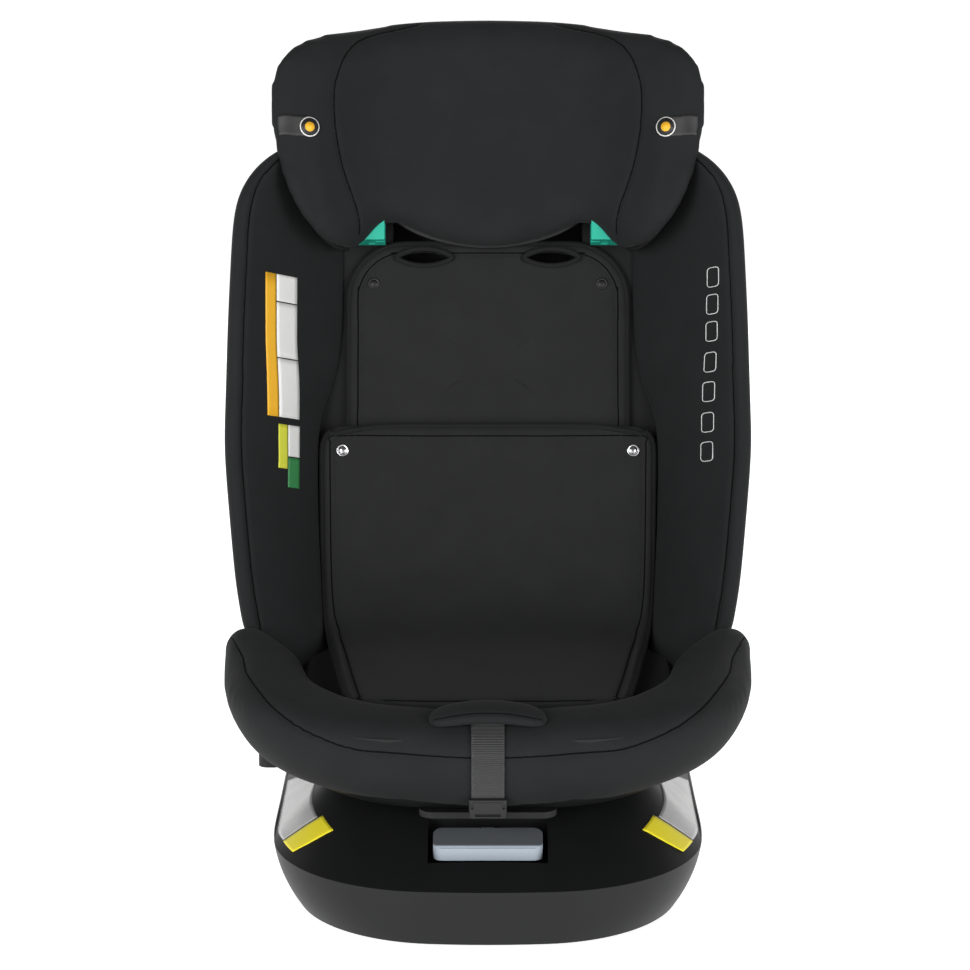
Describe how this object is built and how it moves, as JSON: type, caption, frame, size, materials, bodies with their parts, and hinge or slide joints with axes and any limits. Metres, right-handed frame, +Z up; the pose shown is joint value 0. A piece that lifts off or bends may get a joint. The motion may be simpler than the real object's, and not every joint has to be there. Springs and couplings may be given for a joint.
{
  "type": "rotating child car seat",
  "caption": "Rotating child car seat: padded reclining bucket seat with sliding headrest on a turntable base with sliding anchor arms.",
  "frame": {"origin": "swivel axis at the underside of the base", "axes": "+Z up, -Y the front of the seat, +X the left-hand side of someone sitting in it"},
  "size_m": [0.448, 0.583, 0.6702],
  "materials": {
    "black_plastic": "fine textured moulding",
    "black_knit": "knitted polyester over foam",
    "black_webbing": "ribbed polyester webbing",
    "foam": "expanded foam",
    "dark_steel": "satin black paint",
    "zinc_steel": "zinc plated",
    "chrome_snap": "polished",
    "grey_plastic": "satin moulding",
    "teal_plastic": "satin moulding",
    "red_plastic": "satin moulding",
    "green_plastic": "satin moulding",
    "grip_rubber": "ribbed sheet"
  },
  "bodies": {
    "base": {"base_tray": "black_plastic", "base_cover": "black_plastic", "base_grip_mat": "grip_rubber", "base_screws": "zinc_steel", "bearing_carrier": "black_plastic", "bearing_ring": "zinc_steel", "swivel_nut": "zinc_steel", "anchor_guide_left": "dark_steel", "anchor_guide_right": "dark_steel", "anchor_frame": "dark_steel"},
    "release_handle": {"release_handle": "grey_plastic", "release_rod": "grey_plastic"},
    "anchor_arm_left": {"anchor_arm_left": "zinc_steel", "connector_casing_left": "black_plastic", "connector_jaw_left": "zinc_steel"},
    "anchor_arm_right": {"anchor_arm_right": "zinc_steel", "connector_casing_right": "black_plastic", "connector_jaw_right": "zinc_steel"},
    "catch_left": {"connector_catch_left": "green_plastic"},
    "catch_right": {"connector_catch_right": "green_plastic"},
    "turntable": {"turntable_plate": "zinc_steel", "turntable_cover": "black_plastic", "recline_cradle_left": "black_plastic", "recline_cradle_right": "black_plastic"},
    "swivel_lever": {"swivel_lever": "black_plastic"},
    "seat": {"seat_pan": "black_plastic", "front_bumper": "black_knit", "seat_cushion": "black_knit", "recline_rail_left": "black_plastic", "recline_rail_right": "black_plastic", "crotch_buckle": "black_plastic", "harness_adjuster": "black_plastic", "adjuster_flap": "black_knit", "adjuster_strap": "black_webbing", "strap_end_clip": "black_plastic", "back_shell": "black_plastic", "back_foam": "foam", "back_cover": "black_knit", "wing_left": "black_knit", "wing_right": "black_knit", "harness_yoke": "zinc_steel", "lower_insert": "black_knit", "insert_snaps": "chrome_snap"},
    "recline_lever": {"recline_lever": "black_plastic"},
    "buckle_button": {"buckle_button": "red_plastic"},
    "adjuster_button": {"adjuster_button": "grey_plastic"},
    "headrest": {"head_carrier": "black_plastic", "head_rear_cover": "black_plastic", "head_shell": "black_plastic", "head_pad": "black_knit", "head_lobe_left": "black_knit", "head_lobe_right": "black_knit", "belt_guide_left": "teal_plastic", "belt_guide_right": "teal_plastic", "upper_insert": "black_knit", "upper_snaps": "black_plastic"},
    "head_lever": {"head_lever": "black_plastic"}
  },
  "joints": [
    {"name": "release_handle_pull", "type": "slide", "parent": "base", "child": "release_handle", "axis": [0, -1, 0], "range_m": [0, 0.008], "stiffness_N_per_m": 300},
    {"name": "anchor_arm_left_slide", "type": "slide", "parent": "base", "child": "anchor_arm_left", "axis": [0, 1, 0], "range_m": [0, 0.11]},
    {"name": "anchor_arm_right_slide", "type": "slide", "parent": "base", "child": "anchor_arm_right", "axis": [0, 1, 0], "range_m": [0, 0.11]},
    {"name": "catch_left_slide", "type": "slide", "parent": "anchor_arm_left", "child": "catch_left", "axis": [0, 1, 0], "range_m": [0, 0.01], "stiffness_N_per_m": 300},
    {"name": "catch_right_slide", "type": "slide", "parent": "anchor_arm_right", "child": "catch_right", "axis": [0, 1, 0], "range_m": [0, 0.01], "stiffness_N_per_m": 300},
    {"name": "turntable_spin", "type": "hinge", "parent": "base", "child": "turntable", "pos_m": [0, 0, 0.076], "axis": [0, 0, 1], "continuous": true},
    {"name": "swivel_lever_pull", "type": "slide", "parent": "turntable", "child": "swivel_lever", "axis": [-1, 0, 0], "range_m": [0, 0.008], "stiffness_N_per_m": 300},
    {"name": "seat_recline", "type": "hinge", "parent": "turntable", "child": "seat", "pos_m": [0, 0.01, 0.43], "axis": [-1, 0, 0], "range_deg": [0, 15]},
    {"name": "recline_lever_pull", "type": "slide", "parent": "seat", "child": "recline_lever", "axis": [0, -1, 0], "range_m": [0, 0.008], "stiffness_N_per_m": 300},
    {"name": "buckle_button_press", "type": "slide", "parent": "seat", "child": "buckle_button", "axis": [0, 0, -1], "range_m": [0, 0.003], "stiffness_N_per_m": 300},
    {"name": "adjuster_button_press", "type": "slide", "parent": "seat", "child": "adjuster_button", "axis": [0, 0, -1], "range_m": [0, 0.002], "stiffness_N_per_m": 300},
    {"name": "headrest_slide", "type": "slide", "parent": "seat", "child": "headrest", "axis": [0, 0.309, 0.9511], "range_m": [-0.09, 0.05]},
    {"name": "head_lever_lift", "type": "slide", "parent": "headrest", "child": "head_lever", "axis": [0, 0.309, 0.9511], "range_m": [0, 0.005], "stiffness_N_per_m": 300}
  ],
  "couplings": [
    {"joint": "anchor_arm_right_slide", "follows": "anchor_arm_left_slide", "ratio": 1}
  ]
}
